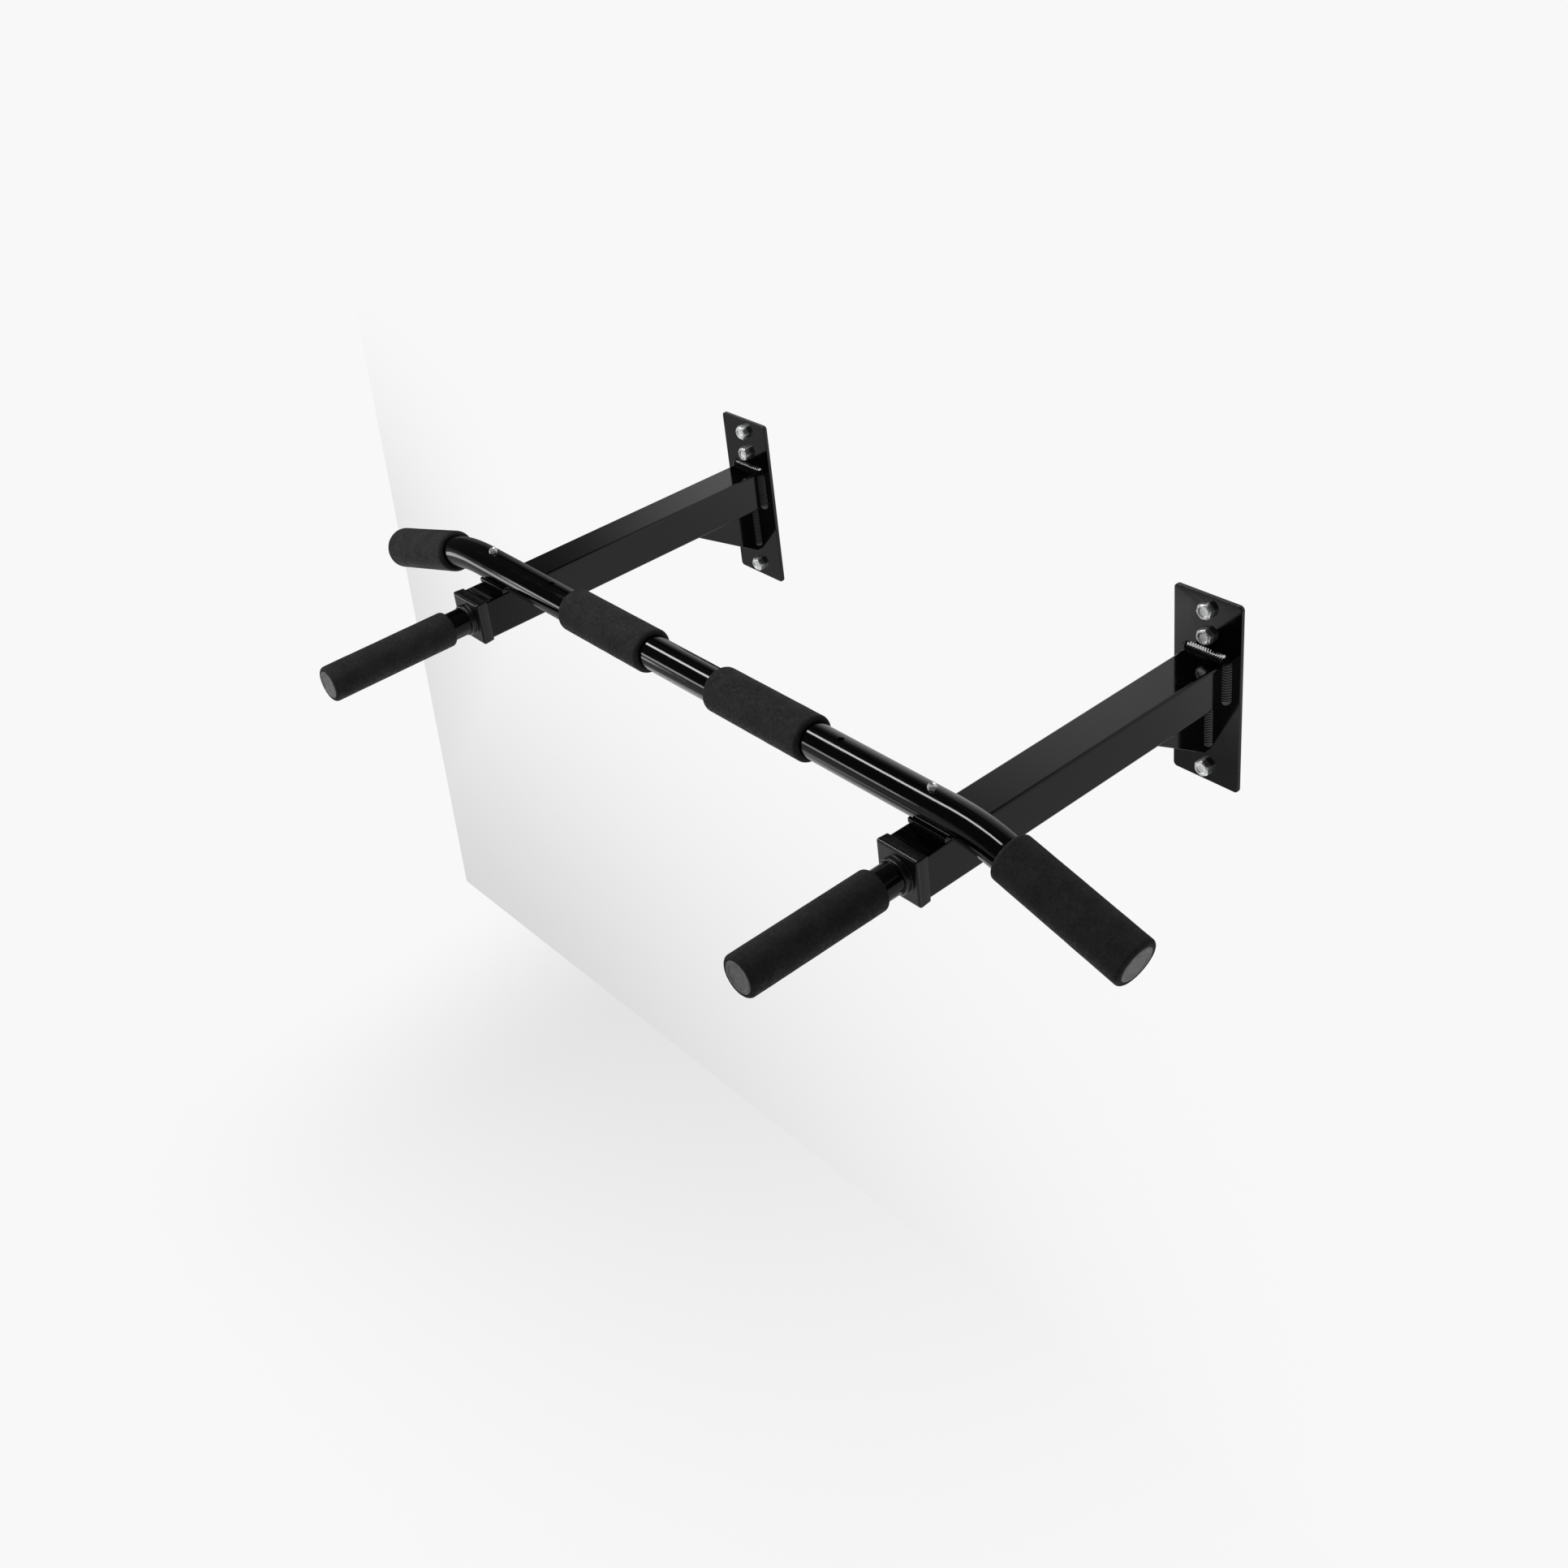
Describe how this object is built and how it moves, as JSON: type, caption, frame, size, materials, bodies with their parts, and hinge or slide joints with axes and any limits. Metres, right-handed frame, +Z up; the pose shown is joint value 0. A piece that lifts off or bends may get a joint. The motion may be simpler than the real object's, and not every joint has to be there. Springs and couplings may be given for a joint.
{
  "type": "wall mounted pull up bar",
  "caption": "Wall-mounted pull-up bar with a long cross bar bent down at its ends, foam grips, square gusseted arms and forward-pointing neutral-grip handles.",
  "frame": {"origin": "centre of the outer four wall screws, on the wall's surface (the plane of the two plates' backs)", "axes": "+X right along the cross bar, as seen by someone facing the wall; +Y into the wall; +Z up"},
  "size_m": [1.0106, 0.587, 0.188],
  "materials": {
    "gloss_black_paint": "gloss",
    "black_plastic": "satin",
    "black_foam": "matte closed-cell foam",
    "grey_plastic": "matt",
    "zinc_plated_steel": "bright zinc"
  },
  "bodies": {
    "root": {"wall_plate_left": "gloss_black_paint", "wall_plate_right": "gloss_black_paint", "arm_tube_left": "gloss_black_paint", "arm_tube_right": "gloss_black_paint", "gusset_left": "gloss_black_paint", "gusset_right": "gloss_black_paint", "arm_weld_left": "gloss_black_paint", "arm_weld_right": "gloss_black_paint", "gusset_weld_left": "gloss_black_paint", "gusset_weld_right": "gloss_black_paint", "arm_end_cap_left": "black_plastic", "arm_end_cap_right": "black_plastic", "saddle_pad_left": "black_plastic", "saddle_pad_right": "black_plastic", "handle_tube_left": "gloss_black_paint", "handle_tube_right": "gloss_black_paint", "handle_grip_left": "black_foam", "handle_grip_right": "black_foam", "handle_plug_left": "grey_plastic", "handle_plug_right": "grey_plastic", "inner_grip_left": "black_foam", "inner_grip_right": "black_foam", "end_grip_left": "black_foam", "end_grip_right": "black_foam", "bar_plug_left": "grey_plastic", "bar_plug_right": "grey_plastic", "pull_up_bar": "gloss_black_paint", "lag_screws": "zinc_plated_steel", "bar_bolts": "zinc_plated_steel", "bar_washers": "zinc_plated_steel", "bar_nuts": "zinc_plated_steel"}
  },
  "joints": []
}
